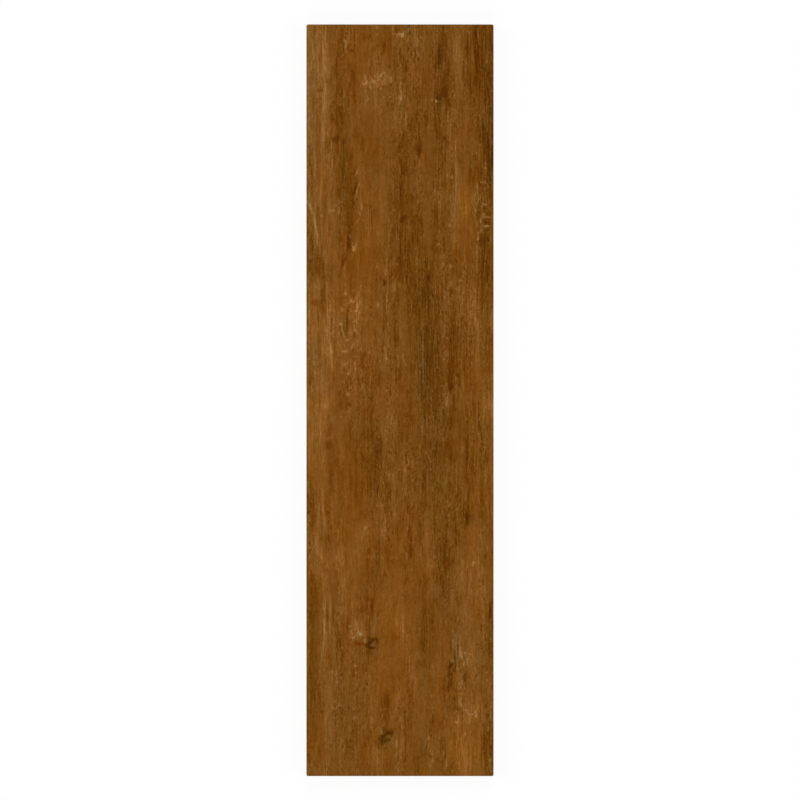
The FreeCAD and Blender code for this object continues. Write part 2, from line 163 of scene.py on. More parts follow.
# The wood print is laid on the damp glaze in overlapping strokes of pigment, and pressed in as fine grain.
# Each stroke is: mm across from the left edge, mm down from the top end, half-width, half-length, tone
# (darker below 0), heat (redder above 0, greyer below) and lean, the last two being 0 where left out.
STROKES = [
    (6, 60, 4.5, 72, 2, -3), (15, 62, 4, 72, 6, -1), (14.2, 55, 1, 60, 12), (11, 52.5, 3.6, 1, -22, -3),
    (40, 22, 20, 24, -2, 4), (47, 9, 8, 4, -3, 6), (63, 17, 4.5, 7, -14, 1), (33, 14, 2.6, 5, 12, -3),
    (26, 20, 1.5, 16, -12, -2), (27, 66, 3.2, 20, -18, -1), (22, 75, 3, 4, -10, -2), (38, 47, 3, 10, -15, 2),
    (26, 93, 7.5, 3.6, -18, -4), (27, 93, 1.4, 4, 16, -5), (50, 44, 7, 5, 15, -1), (62, 43, 6, 6, 16, -1),
    (47, 55, 3, 7, 10, -4), (53, 62, 8, 10, 7), (67, 74, 5, 3, 15), (76, 65, 5, 10, 9, -5),
    (76, 8.6, 4.5, 1.3, 24, -2), (80, 5, 3.6, 5, -15, -3), (85, 15, 16, 14, 5, -5), (74, 25, 3, 6, -12, -2),
    (81, 33, 2, 9, -12), (88, 76, 1.4, 4, -22), (83.5, 80, 1.3, 3, -18), (97.5, 76, 1.6, 2.6, -22),
    (95, 72, 3, 6, -8), (90, 100, 2.4, 4, -30, -1), (91, 93, 2, 8, -14), (107, 10, 3, 12, -14, -3),
    (105.5, 24, 1.8, 9, -17, -2), (108, 30, 3, 8, -15, -5), (110, 42, 3, 8, -12, -5),
    (110.5, 55, 4.6, 9, -24, -5), (107, 61, 3, 4, -10, -6), (103.5, 61, 2, 1.4, 20, -3),
    (118, 53, 1.5, 8, 4, -8), (121, 30, 3.5, 17, 12, -4), (120, 8, 2, 8, 10), (122, 55, 4, 8, 8, 1),
    (126, 10, 2, 8, -2, 5), (128, 20, 1.5, 12, -14), (136.5, 18, 1.7, 18, -27, -1),
    (134.5, 8, 1.3, 7, -18, -1), (141, 8, 1.5, 9, -16, -3), (141.5, 32, 2.5, 12, -14, -4),
    (143, 45, 1.5, 8, 2, -7), (141, 57, 2.5, 8, -15, -1), (135, 47, 3, 6, -14, -1), (142, 92, 5, 9, -26, -3),
    (146, 75, 2.5, 12, -14, 2), (147.5, 40, 1.8, 34, -5, 9), (147, 112, 2.6, 18, -20, -3),
    (128, 80, 7, 12, 2, 6), (132, 82, 1.5, 8, -14), (138, 78, 1.5, 8, 14, -2), (104.5, 90, 1.8, 4, -20, -2),
    (110, 97, 3.5, 11, -14, -6), (102, 70, 2, 7, -10, 2), (78, 93, 3.5, 8, -16, -5), (72, 97, 4, 5, -2, -5),
    (48, 98, 9, 8, -5, 5), (42, 92, 3, 6, -10, 5), (34, 106, 2, 5, -18, 3), (28, 105, 6, 12, -9, -2),
    (38, 88, 6, 3, -8, -1), (30, 118, 4, 18, -9, -3), (31, 133, 7, 11, -7, -3), (38, 135, 1.8, 9, -17, -6),
    (43, 127, 1.4, 16, 14, -2), (44, 146, 1.5, 7, 14, -1), (27, 147, 3, 3, 14, -1), (33, 148, 7, 10, -5, -1),
    (33.5, 163, 2.4, 14, -15, -6), (31.5, 181, 2.2, 20, -19, -1, -0.2), (28, 168, 3, 16, 1, 3),
    (37, 178, 2, 4, 20, -3), (36, 171, 1.4, 5, 8, -6), (35, 200, 3.4, 12, -10, 6), (50, 135, 6, 12, 2, 6),
    (53, 165, 7, 12, 3, 4), (47, 187, 7, 10, -4, 8), (60, 150, 3, 12, 1, 2), (8, 133, 4.5, 10, 9, 1),
    (6.5, 157, 1.4, 18, 22, -1, 0.15), (5, 145, 4, 6, 10, -2), (2.5, 152, 1.8, 9, -10),
    (4, 183, 4, 13, -15, -6), (11, 192, 1.5, 8, -12), (8.5, 195, 2, 6, -8, -2), (16, 175, 3, 22, 6),
    (19, 150, 2, 3, 12, -2), (76, 113, 3.5, 6, -12, -5), (77, 117, 3, 3, -16, -2), (75, 132, 3.5, 6, -17, -2),
    (68, 130, 4, 16, -8, -4), (83, 129, 5, 6, 1, -6), (84, 138, 2, 3, -21, 3), (75, 143, 2, 4, -11),
    (75.3, 166, 2, 12, -21, 2), (81, 155, 2, 3, -10, 1), (77, 187, 4, 9, -14, -5), (80, 180, 3, 3, -14, -6),
    (77, 203, 8, 4, -13, 1), (73.5, 195, 1.4, 10, -12), (85.5, 200, 2.5, 4, -18, 2), (96, 190, 3, 4, -16, -6),
    (98, 201, 2.5, 4, -17, -2), (57, 205, 5, 6, -6, -2), (68, 210, 3, 4, 8, -1), (90, 185, 7, 7, 2, 2),
    (105, 148, 5, 8, -8, 6), (106, 162, 5, 13, -9, 3), (103, 178, 4, 10, -8, 5), (89, 165, 6, 14, -6, 1),
    (94, 175, 6, 4, -5, 1), (118.8, 130, 1.9, 22, 13, -4), (120, 120, 4, 14, 5, -1),
    (114.8, 172, 1.8, 17, -10, -16), (117.2, 156, 0.9, 7, 10, -4), (117.5, 142, 2.2, 9, 7, -6),
    (127, 162, 6, 10, -5, 6), (122, 182, 5, 8, -5, 8), (125, 145, 6, 10, 2, 6), (129, 150, 3, 4, 4, 6),
    (135, 120, 7, 9, -10, 6), (138, 118, 4, 5, -8, 3), (143, 116, 1.8, 3, 12, -2), (141, 129, 4, 3, -9, -4),
    (141.5, 143, 5, 2.4, 4, -3), (141, 151, 5, 3, -5), (141, 157, 5, 2.4, -6, -3), (144, 161, 5, 1.3, 4, -2),
    (136, 160, 1.5, 14, 8, -1), (135, 170, 2, 8, -9, 4), (142, 172, 4, 8, -15, -2),
    (143, 192, 4, 24, -13, -1), (148, 192, 1.4, 30, -5, 10), (138, 180, 2, 10, -5, 3),
    (12.5, 222, 2.2, 14, -14, -3), (7, 223, 2.2, 2.6, -20, 1), (7, 212, 3, 6, 4, -1), (7, 233, 3.5, 5, 2, -4),
    (2, 236, 2, 12, 8, 1), (20, 245, 7, 28, 11), (19, 262, 1.8, 16, 13, -1), (8.5, 265, 5, 12, 2, -9),
    (4, 288, 3.4, 10, -6, -9), (12, 283, 4, 10, 5, -4), (2, 262, 2, 12, 5, 3), (39, 223, 4.2, 9, 13, -1),
    (38, 218, 5, 6, 12), (33, 214, 3, 3, 8), (39, 254, 2.2, 2.6, 8, -3), (36, 246, 5, 2, 14, -2),
    (32.5, 238, 2.4, 12, -10, -5), (32, 229, 2.4, 4, -17), (27, 221, 2, 4, -8, 1), (30, 261, 5, 1.4, 14),
    (31, 271, 3, 3, 10, -1), (37, 276, 4, 3, 12), (34, 286, 4, 5, -7, -2), (33.5, 295, 1.7, 2, 8, -2),
    (31.5, 291, 3, 8, -9, 1), (31, 303, 4, 6, -13, 2), (50, 230, 9, 14, 1, 4), (57, 223, 1.4, 4, 14),
    (50, 243, 8, 5, -8, 3), (45, 268, 5, 5, -12, 4), (53, 282, 6, 14, -10, 5), (57.8, 287, 1.4, 7, -18, -1),
    (47, 275, 3, 10, -6, 3), (72.5, 222, 1.4, 8, -14), (71.8, 244, 1.3, 12, -12, -1), (66, 262, 5, 16, 8, -3),
    (76, 262, 3, 10, 8, -1), (65, 288, 4, 5, 2, 3), (71, 285, 1.5, 14, -9, -1), (84, 230, 4, 8, -13, -2),
    (84, 275, 2, 4, -19, 1), (83, 313, 2, 5, -17, -1), (82, 250, 2, 12, -9), (98, 210, 3.6, 12, -11, -2),
    (93, 222, 4, 12, -11, -3), (95, 245, 6.6, 10, -12, -4), (94, 262, 5.6, 12, -9, -5),
    (98, 275, 3, 16, -9, -4), (95, 290, 6, 16, -7, -5), (90.5, 290, 1.8, 11, -12, -2),
    (96, 312, 5, 13, -9, -4), (100, 250, 5, 30, -8, -3), (106, 275, 3, 10, -10, -1),
    (104.5, 300, 4, 12, -10, -5), (115, 207, 1.4, 3, 17, -3), (115.5, 214, 1.2, 3, -18),
    (113, 218, 2, 5, 12, -4), (114, 228, 1.3, 5, -15, -1), (111, 232, 2.2, 3, -6, -7),
    (122, 220, 5, 16, 7, -4), (118, 245, 4, 8, -16, -3), (115, 249, 1.7, 4, -18, -2),
    (112.5, 263, 1.4, 3, 20, -4), (115.5, 276, 1.9, 14, -17, 3), (115.5, 288, 1.7, 6, -22, 1),
    (122, 283, 1.1, 10, -13, 0, 0.15), (124.5, 290, 1, 7, 15, -2), (114, 300, 2.5, 7, 14, -4),
    (118, 302, 1.4, 4, -14), (116, 316, 2.5, 7, -20, -4), (111, 320, 3, 7, -6, -9), (133, 228, 4, 16, 13),
    (138, 245, 2.2, 6, 18, -1), (134, 237, 1.5, 6, 12), (127, 249, 3, 4, -11, -1), (127, 275, 3.5, 16, -9, 4),
    (136, 265, 2, 25, 12, 1), (143, 250, 3, 8, -2, -3), (141, 275, 5, 8, -2, 6), (147.5, 270, 1.8, 18, 0, 10),
    (148, 292, 1.7, 8, 8, -2), (138, 290, 5, 10, 6, 3), (142, 230, 3, 12, -4, -1),
    (109.5, 310, 1.4, 2.6, -20), (107, 318, 2, 4, -8, 4), (14, 302, 10, 6, 9, 4), (16, 305, 3, 2, 12, 3),
    (10, 318, 8, 10, 8, 1), (22, 316, 2, 5, 2, -5), (4, 330, 3, 20, 9), (19.5, 323, 3, 4, -8, -1),
    (18.5, 330.5, 3, 1.6, 10, -3), (18.5, 336, 4, 4, -21, 1), (19, 356, 3.5, 13, -12, 2),
    (5, 352, 5, 8, 5, 4), (13, 352, 1.6, 5, 12), (33, 325, 5, 14, -11, 3), (26, 325, 3.5, 16, 8, 1),
    (36, 332, 1.4, 10, -12), (36, 355, 3.5, 14, -9, 3), (41, 315, 1.5, 3, 12, -2), (47, 332, 6, 14, -8, 2),
    (45.5, 326, 1.3, 3.5, -14, 1), (44, 346, 2, 5, -14, 2), (50, 352, 4, 6, -8, 1), (50, 310, 8, 8, -5, 5),
    (57.5, 342, 3, 22, -18, -6), (56.8, 334, 2, 6, -8, -2), (62, 328, 2.2, 6, 8, -3), (65, 320, 8, 12, 6, -5),
    (66, 338, 4, 5, 2, -8), (75, 333, 6, 6, -2, -4), (84, 325, 3, 5, -6, -2), (77, 350, 9, 8, -2, 2),
    (92, 338, 2.5, 2.5, -8, 6), (84, 353, 3, 4, 10, -1), (97, 350, 4, 7, -17, -9), (98, 362, 4, 9, -11, -10),
    (94, 372, 2, 8, -16, -6), (103, 340, 3, 10, -6, -5), (113, 335, 5, 5, -5, 6), (114, 348, 6, 8, -9, 5),
    (113, 352, 1.5, 4, 10), (124, 338, 1.4, 3.5, 16, -1), (120, 325, 4, 8, -3), (128, 335, 1.6, 20, -12),
    (129, 356, 2, 14, -21, 2), (132, 350, 2, 10, -8), (134.5, 352, 1.1, 8, -14), (137, 357, 1.2, 10, 14, -1),
    (134, 322, 2, 6, 12, -2), (140, 322, 5, 5, -11, -4), (138, 335, 1.5, 8, 8), (141, 345, 4, 10, -5, -3),
    (147, 370, 1.9, 22, 0, 10), (44, 365, 5, 8, -10, 1), (35, 375, 7, 16, -9, 4), (42.5, 385, 3.5, 10, -9, 4),
    (56.5, 372, 2, 8, -24, -2), (53, 365, 2.5, 8, -10, -4), (64, 375, 4, 6, -4, -4), (81, 370, 4, 4, -12, -1),
    (80.5, 382, 1.5, 12, -12), (68, 388, 4, 8, 5, -1), (85, 388, 6, 6, -8, 5), (95, 383, 6, 4, -12, -3),
    (91, 397, 2.5, 4, -14, -3), (95, 390, 4, 10, -5, -5), (105, 380, 4, 10, -5, -3), (117.5, 372, 1, 5, -14),
    (121.8, 376, 1.4, 6, -20, -3), (126, 375, 2.5, 7, 8, -3), (130.5, 375, 1.8, 7, -20, -1),
    (124, 391, 3.5, 5, -16, -4), (129, 392, 1.6, 8, -26, -3), (127, 398, 6, 7, -14, -4),
    (140.5, 377, 1.5, 6, -14, -1), (3.5, 382, 2.9, 12, -19, -4), (12, 392, 4, 7, 12, -3),
    (16, 392, 1.3, 3, -20, 6), (24, 380, 3, 18, 7, -2), (16, 375, 2, 10, -10, 1), (4, 415, 4, 7, 9, -6),
    (17.5, 408, 1.9, 18, -16, -1), (12.5, 411, 2, 2.5, -16, -2), (13, 400, 3, 6, 8, -1),
    (15, 434, 1.4, 6, -15, -3, 0.8), (13, 424, 2.5, 3, 12, -3), (5, 432, 4, 7, 8, 1), (25, 428, 3, 8, 12),
    (25, 415, 1.5, 4, 12), (27, 434, 6, 12, 6), (33, 402, 5, 8, -5, 8), (31, 392, 3, 5, -8, 6),
    (34, 412, 3, 4, -9, 2), (43, 405, 4.5, 9, 11, 1), (45, 399.5, 4, 1.8, 14, -1), (43, 420, 4, 8, 7, 3),
    (50, 422, 5, 4, -13, 2), (52, 433, 3.5, 8, -13, 1), (57, 427, 1.7, 13, -19, -10),
    (57, 444, 2, 8, -12, -5), (60, 403, 3.5, 5, 9, -5), (64, 410, 4, 6, 4, -1), (67, 402, 2, 4, -9, -1),
    (72, 403, 1.3, 3, -14), (53, 425, 4.6, 1.1, 15, -1), (65, 420, 5, 4, -4, 4), (66, 428, 5, 4, -10),
    (77, 428, 4, 6, -8, -1), (82, 405, 2, 4, -16, -1), (80, 412, 1.5, 5, -14), (82.5, 418, 1.5, 8, -10, -1),
    (83.5, 423, 1.3, 2.6, -22), (81, 430, 1.2, 3, -14), (90, 408, 5, 8, -6, -2), (97, 414, 1.5, 4, 10),
    (98, 432, 3, 5, 4, 2), (93, 437, 5, 5, -8, 5), (95, 443, 3, 3, -12, 1), (102, 438, 1.8, 4, -12, 2),
    (106, 425, 2, 9, -10, -7), (111.5, 418, 2.5, 15, -13, -3), (112, 400, 3, 12, -11, -3),
    (113, 428, 3.5, 8, -12, -4), (106, 445, 4, 6, -15, -2), (110, 450, 5, 16, -10, -4),
    (106, 466, 4, 9, -11, -2), (119, 465, 5, 18, -2, -5), (120, 412, 1.5, 8, -12, -5),
    (124, 424, 3.5, 4, -8, 2), (124, 428, 1.6, 1.6, 16), (131, 431, 4, 1.8, 12, -2),
    (137, 430.5, 1.8, 3, 22, -3), (130, 412, 5, 8, -8, 7), (140, 412, 2, 8, 9, -1), (127, 445, 3, 10, 9, -4),
    (135, 445, 6, 8, 5, -1), (148, 425, 1.7, 10, -6, 7), (140, 463, 7, 11, -2, 7),
    (146.7, 469, 2, 11, -26, -3), (147, 498, 2.2, 9, -23, -4), (145, 488, 2.5, 6, -10, -1),
    (6, 452, 4, 12, -10, 3), (8, 465, 3, 10, -8), (3, 440, 2.5, 6, -3, 9), (2.5, 468, 2, 10, -9, -1),
    (15, 478, 2.5, 26, 15, 2), (13.2, 475, 1, 20, 8), (19, 470, 1.2, 14, 9), (20.6, 470, 1, 12, -9),
    (24, 462, 1.5, 5, -12), (24, 485, 1.3, 6, -14), (27, 490, 1.6, 8, -17, -1), (27, 470, 2, 10, 5, -2),
    (30, 440, 3, 8, 4, 3), (36, 440, 2, 12, -6), (37.5, 464, 2.5, 5, 10, 1), (44, 467, 2, 3, -14),
    (49, 462, 5, 7, -11, 2), (53, 466, 2, 6, -19, -1), (51, 475, 3, 8, -12, 1), (40, 478, 1.6, 2, 16),
    (42, 484, 5, 5, 18, -3), (36, 487, 3, 2.5, 8), (40, 494.5, 5, 1.8, -11, 6), (53, 485, 3, 2, 10, -5),
    (61, 465, 4, 10, 2, -1), (75, 470, 8, 12, 4, 3), (75, 483, 6, 10, 5, 2), (70, 490, 5, 6, -7, 4),
    (77, 503, 9, 6, 2, 6), (60, 510, 8, 12, 3, 6), (93, 455, 2, 8, -10, 2), (92, 482, 4, 9, -9, 4),
    (94, 497, 3, 5, -12, 1), (94, 511, 2.5, 3, -14, 1), (99, 500, 4, 8, 2, 2), (85, 470, 4, 8, 0, 3),
    (80, 445, 1.5, 8, -8), (100, 470, 3, 10, -8, -2), (8, 527, 4.5, 26, -9, -3), (12, 536, 1.9, 15, -17, -3),
    (3, 540, 2, 20, -6, -2), (15.5, 550, 1.6, 20, 9, 5), (22, 520, 4, 10, 9, -2), (20, 565, 1.6, 8, 14, -1),
    (23, 543, 5, 4, 8, -2), (30, 562, 10, 17, 1, -5), (43, 520, 5, 8, -6, 2), (42, 540, 4, 10, -3),
    (2, 575, 2.5, 16, -2, 8), (1.6, 500, 1.6, 16, 2, 7), (8, 567, 3, 12, -6, 4), (12, 580, 2, 8, -9, -1),
    (58, 527, 7, 8, -2, 9), (52, 540, 4, 8, 7, 4), (53, 555, 5, 6, 11, 2), (62, 533, 3, 5, -8, 5),
    (64.5, 540, 3, 8, -17, 1), (66, 553, 4, 6, -8), (59, 562, 2, 2, 10, -2), (72, 545, 2, 6, 8),
    (75, 552, 3, 4, 8, -1), (81.5, 530, 1.4, 12, -14, 2), (77, 530, 2.5, 10, -5, 4), (71, 520, 3, 10, -6, 4),
    (87, 527, 2.5, 8, 6, -2), (86, 508, 5, 8, -1, -2), (103, 512, 4, 8, 4, 4), (110.5, 504, 3, 14, -1, 9),
    (104, 527, 4, 8, 2, 5), (95, 543, 7, 6, -5, 2), (108, 548, 3, 8, -3, 3), (112, 545, 1.8, 8, -2, -9),
    (119, 500, 1.8, 12, 3, -8), (123, 501, 2.6, 12, 15, -3), (113, 520, 2.6, 10, -8, -8),
    (117.5, 528, 3, 5, -11, -4), (116, 541, 2.6, 7, -9, 6), (132, 510, 4, 14, 4), (127, 523, 1.6, 4, -9),
    (139, 515, 5, 14, 1, -4), (132, 547, 9, 10, 8, -1), (135, 549, 3.5, 5, 14, -2), (124, 545, 3, 6, 9, -6),
    (121, 546, 1.2, 3.5, -19), (124, 556, 5, 2.5, 14, -2), (137, 540, 1.2, 4, 14), (147, 520, 2, 10, -6, 7),
    (146, 545, 2.5, 10, -5, -1), (143, 574, 4, 15, -14, 2), (142.5, 586, 4, 7, -14), (131, 583, 9, 12, 7, 4),
    (122, 575, 5, 14, 2, 6), (115.5, 590, 1.6, 7, -13, 2), (82, 558, 2, 4, -14), (74, 572, 5, 4, 8, -1),
    (73, 585, 2.5, 12, 12, -1), (66, 590, 2.5, 8, -13, 2), (87.5, 590, 2.6, 8, -18, -4),
    (84, 592, 5, 6, -5, 2), (95, 580, 3, 12, -3, -6), (101, 556, 1.8, 5, -13), (97, 572, 2, 6, 9, -4),
    (103, 578, 1.4, 8, 15, -3), (99, 590, 2, 8, 8, -4), (106, 575, 2, 12, -8, -4), (110, 577, 2, 12, -9, -5),
    (52, 570, 2.5, 4, -2, 8), (45, 580, 6, 10, -3, 3), (33, 578, 1.5, 8, -10), (38, 560, 1.6, 10, -9),
    (26, 580, 2, 12, 6, -3), (17, 585, 2, 10, 9), (50, 583, 6, 6, 4, -1), (50, 598, 9, 1.4, -3, -9),
    (60, 574, 4, 4, -9, -4), (52, 500, 4, 4, -9, -6),
]
# Under them lie the broad bands of the plank, laid first and thinly, with the same columns.
BROAD_BANDS = [
    (5, 18, 12, 60, 6, -2), (7, 80, 11, 110, 5, -1), (6, 320, 12, 60, 6, 1), (20, 250, 6, 35, 6),
    (16, 480, 7, 110, 6, -1), (3, 520, 6, 90, -6), (31, 150, 10, 60, -3.5), (77, 155, 9, 65, -7, 1),
    (96, 262, 10, 75, -6, -2), (108, 40, 6, 40, -9, -3), (118, 70, 6, 95, 6), (138, 30, 12, 35, -11),
    (145, 110, 6, 40, -11, -3), (144, 190, 6, 35, -9), (118, 262, 6, 45, -8), (133, 235, 7, 32, 7),
    (127, 140, 9, 20, 5, 1), (130, 440, 12, 40, 7, 1), (127, 530, 10, 80, 7), (109, 425, 8, 50, -2, -2),
    (52, 348, 8, 38, -4), (30, 340, 10, 110, -2, 2), (45, 180, 14, 90, 3, 3), (124, 150, 8, 50, 1, 3),
    (72, 490, 12, 55, 2, 5), (96, 490, 6, 30, -7), (12, 530, 18, 50, 0, -2.5), (125, 578, 14, 25, 5, 3),
    (104, 330, 12, 60, -4, -3), (2, 60, 4, 110, 0, -3), (2, 175, 4, 60, 0, -2), (45, 18, 18, 26, 0, 2.5),
    (148, 60, 5, 70, -4, -4), (38, 200, 16, 32, 0, 1.5), (93, 230, 11, 50, -2, -1.5),
    (138, 275, 11, 26, -2, 2.5), (35, 400, 18, 62, 0, 1.5), (138, 365, 12, 22, 0, 4), (132, 418, 8, 20, 0, 3),
    (65, 430, 26, 40, 0, 3), (148, 475, 5, 36, -3, -3), (148, 578, 4, 30, -2, -5), (8, 225, 13, 28, 9),
    (7, 262, 10, 36, 6), (112, 345, 16, 45, -2), (147, 308, 5, 12, 14), (6, 420, 10, 22, 5),
    (88, 212, 8, 26, -6), (147, 78, 5, 40, -3), (141, 143, 5, 18, 4, -1), (30, 330, 6, 110, 5),
    (40, 240, 4, 18, 5), (18, 145, 6, 55, 5), (6, 405, 6, 40, 3.5), (119, 90, 6, 50, -5, -1),
    (134, 82, 8, 18, -5, -1), (134, 250, 7, 10, -5), (128, 470, 9, 50, -3.5, -1), (42, 482, 6, 16, 6),
    (50, 50, 8, 10, 5), (40, 20, 8, 18, 3.5), (95, 30, 4, 14, 3), (73, 300, 5, 20, 3.5), (40, 430, 5, 30, 3),
    (76, 90, 5, 8, 4), (106, 385, 5, 35, 3), (12, 370, 9, 25, 0, 3.5), (31, 440, 8, 45, 4, 2),
    (10, 560, 9, 30, 0, 3), (127, 395, 6, 28, 0, -5), (56, 580, 8, 16, 4, 2.5), (106, 135, 12, 30, 0, -3),
    (106, 590, 8, 12, 0, -4), (66, 345, 7, 14, 0, -3), (42, 150, 5, 10, 0, -4), (140, 82, 6, 16, -5),
    (106, 90, 6, 40, -3), (66, 172, 10, 12, 4, -2), (84, 210, 6, 10, 5), (104, 236, 6, 12, -5),
    (128, 312, 6, 12, -4), (139, 352, 6, 12, -4), (117, 392, 5, 10, -5), (33, 232, 8, 9, 5),
    (18, 90, 5, 12, 4), (89, 30, 9, 12, 4), (60, 50, 5, 11, 4), (6, 560, 5, 24, 3, 2), (12, 232, 2.4, 34, -9),
    (12, 452, 2.2, 14, -8), (21, 282, 2.2, 18, 8), (1, 497, 2.5, 24, 9), (147, 293, 2.4, 16, 7, -1),
    (147, 233, 2.2, 14, 6), (40, 297, 2.2, 12, 6), (22, 389, 2.2, 14, 6), (11, 145, 2.2, 14, 5),
    (114, 55, 3, 14, -5), (121, 422, 3, 14, -5),
]
# Drifts over the face. Each is: size, width and length of its lattice in mm, and seed.
FRAY_ACROSS = [(0.7, 2.2, 20, 11), (0.4, 1.4, 9, 12)]
FRAY_ALONG = [(2.6, 1.7, 14, 13), (1.2, 1.2, 5, 14)]
STREAKED = [(0.4, 1.6, 16, 21)]
TONE_DRIFT = [(2.2, 7, 40, 22), (2.4, 2.4, 60, 23)]
HEAT_DRIFT = [(1.0, 6, 24, 24)]
PRESS_DRIFT = [(0.03, 1.3, 16, 31), (0.03, 5, 60, 32)]
BAND_TONE = 1.75
STROKE_HEAT, BAND_HEAT, HEAT_OF_TONE, HEAT_OF_BAND_TONE = 0.53, 0.72, 0.02, 0.18

LEFT_EDGE, TOP_END = 74.7, 300
across, along = face_x + LEFT_EDGE, TOP_END - face_y


def drifts(layers):
    """Smooth random values about 0: a sum of random numbers on lattices a little larger than the face, each
    joined by cubic easing."""
    total = 0
    for size, width, length, seed in layers:
        lattice = np.random.default_rng(seed).normal(size=(int(160 / width) + 6, int(610 / length) + 6))
        a, b = across / width + 2, along / length + 2
        i, j = a.astype(int), b.astype(int)
        p, q = a - i, b - j
        p, q = p * p * (3 - 2 * p), q * q * (3 - 2 * q)
        near = lattice[i, j] * (1 - q) + lattice[i, j + 1] * q
        far = lattice[i + 1, j] * (1 - q) + lattice[i + 1, j + 1] * q
        total = total + size * (near * (1 - p) + far * p)
    return total


# Strokes with smaller half-sizes than these are frayed less.
FRAYED_WIDTH, FRAYED_LENGTH = 2.4, 7
fray_across, fray_along = drifts(FRAY_ACROSS), drifts(FRAY_ALONG)


def laid(strokes):
    """Tone and heat of all strokes. One stroke is its tone times exp(-0.9 (a a + b b)^1.5), where a and b are
    the distances across and along in half-widths and half-lengths, both frayed by drift, and a leaning."""
    tone, heat = np.zeros_like(across), np.zeros_like(across)
    for at, down, half, reach, shade, *more in strokes:
        warmth, lean = (more + [0, 0])[:2]
        b = along + fray_along * min(1.0, reach / FRAYED_LENGTH) - down
        a = (across + fray_across * min(1.0, half / FRAYED_WIDTH) - at - lean * b) / half
        weight = np.exp(-0.9 * (a * a + (b / reach) ** 2) ** 1.5)
        tone += shade * weight
        heat += warmth * weight
    return tone, heat


tone, heat = laid(STROKES)
band_tone, band_heat = laid(BROAD_BANDS)
tone = tone * (1 + drifts(STREAKED)) + BAND_TONE * band_tone
heat = STROKE_HEAT * heat + BAND_HEAT * band_heat + HEAT_OF_TONE * tone + HEAT_OF_BAND_TONE * band_tone
tone += drifts(TONE_DRIFT) - tone.mean()
heat += drifts(HEAT_DRIFT) - heat.mean()

# Here the print shows the wood's rays, as clusters of small pale curls between dark lines. Each patch is: mm
# across, mm down, half-width, half-length and strength.
RAY_PATCHES = [
    (36, 232, 8, 24, 0.7), (141, 144, 8, 20, 0.5), (56, 46, 15, 9, 0.6), (130, 430, 11, 5, 0.9),
    (34, 285, 7, 18, 0.6), (44, 402, 6, 5, 0.6), (130, 550, 10, 12, 0.5), (40, 484, 8, 6, 0.6),
    (68, 72, 8, 5, 0.7), (22, 92, 7, 4, 0.6), (37, 178, 4, 6, 0.7), (115, 195, 4, 40, 0.5),
    (38, 130, 6, 20, 0.4), (101, 580, 7, 14, 0.6), (22, 560, 6, 26, 0.4), (75, 552, 6, 7, 0.5),
    (92, 80, 12, 12, 0.4), (106, 61, 6, 5, 0.6), (84, 350, 9, 9, 0.5), (16, 330, 8, 6, 0.4),
    (66, 60, 10, 12, 0.6), (22, 517, 5, 7, 0.6), (25, 543, 6, 9, 0.6), (18, 571, 4, 9, 0.5),
    (126, 500, 9, 9, 0.6), (134, 64, 4, 14, 0.5), (32, 14, 3, 6, 0.6), (139, 128, 8, 14, 0.4),
    (90, 11, 6, 4, 0.5), (74, 7, 6, 3, 0.8), (25, 147, 5, 6, 0.7),
]
rays = np.zeros_like(across)
for at, down, half, reach, share in RAY_PATCHES:
    away = ((across - at) / half) ** 2 + ((along - down) / reach) ** 2
    rays = np.maximum(rays, share * np.exp(-away ** 1.5))

# The grain is pressed deeper where the print is darker, and not at all at the edge.
PLAIN_DEPTH, DEPTH_OF_TONE, DEEPEST, CALM_BORDER = 0.055, 0.0035, 0.24, 2.0
from_edge = np.minimum(FLAT_HALF_WIDTH - np.abs(face_x), FLAT_HALF_LENGTH - np.abs(face_y))
calm = np.clip(from_edge / CALM_BORDER, 0, 1)
pressed = PLAIN_DEPTH - DEPTH_OF_TONE * tone + drifts(PRESS_DRIFT)
face_z = THICKNESS - np.clip(pressed, 0.0, DEEPEST) * calm * calm * (3 - 2 * calm)

face = np.stack([face_x, face_y, face_z], 1)
wall = np.stack([ring_x, ring_y, ring_z], -1).reshape(-1, 3)
points = np.concatenate([face, wall, key_points.reshape(-1, 3), floor_points])
polygons = [row for part in (face_quads, ring_quads, key_quads, back, key_floor) for row in part.tolist()]
skin = bpy.data.meshes.new("glazed_tile")
skin.from_pydata((points * MM).tolist(), [], polygons)
skin.shade_smooth()
skin.set_sharp_from_angle(angle=np.radians(38.0))

# Of the bands between the rings, the first two go on with the face on its map, and five are glazed.
EASED_BANDS, GLAZED_BANDS, WALL_BANDS = 2 * loop, 5 * loop, len(ring_height) * loop
coat = np.ones(len(polygons), int)
coat[:len(face_quads) + GLAZED_BANDS] = 0
skin.polygons.foreach_set("material_index", coat)
# Painted shade: over the eased edge the print is drawn darker and greyer, standing in for the shade on the
# rounded arris.
EDGE_SHADE_OVER, EDGE_SHADE_TONE, EDGE_SHADE_HEAT = 0.2, -36.0, -10.0
painted_edge_shade = np.repeat(np.clip((THICKNESS - ring_height) / EDGE_SHADE_OVER, 0, 1), loop)
for name, values, shade_at_edge in (("tone", tone, EDGE_SHADE_TONE), ("warmth", heat, EDGE_SHADE_HEAT), ("rays", rays, 0.0)):
    carried = np.zeros(len(points), np.float32)
    carried[:len(face)] = values
    # Painted shade: the rings round the edge take the rim's print, darkened and greyed towards the wall.
    carried[len(face):len(face) + len(wall)] = np.tile(values[rim], len(ring_height)) + shade_at_edge * painted_edge_shade
    skin.attributes.new(name, "FLOAT", "POINT").data.foreach_set("value", carried)


def strip(start, span, value, half):
    """Where a value from -half to half falls in a strip of the map with that start and span."""
    return start + span * (value + half) / (2 * half)


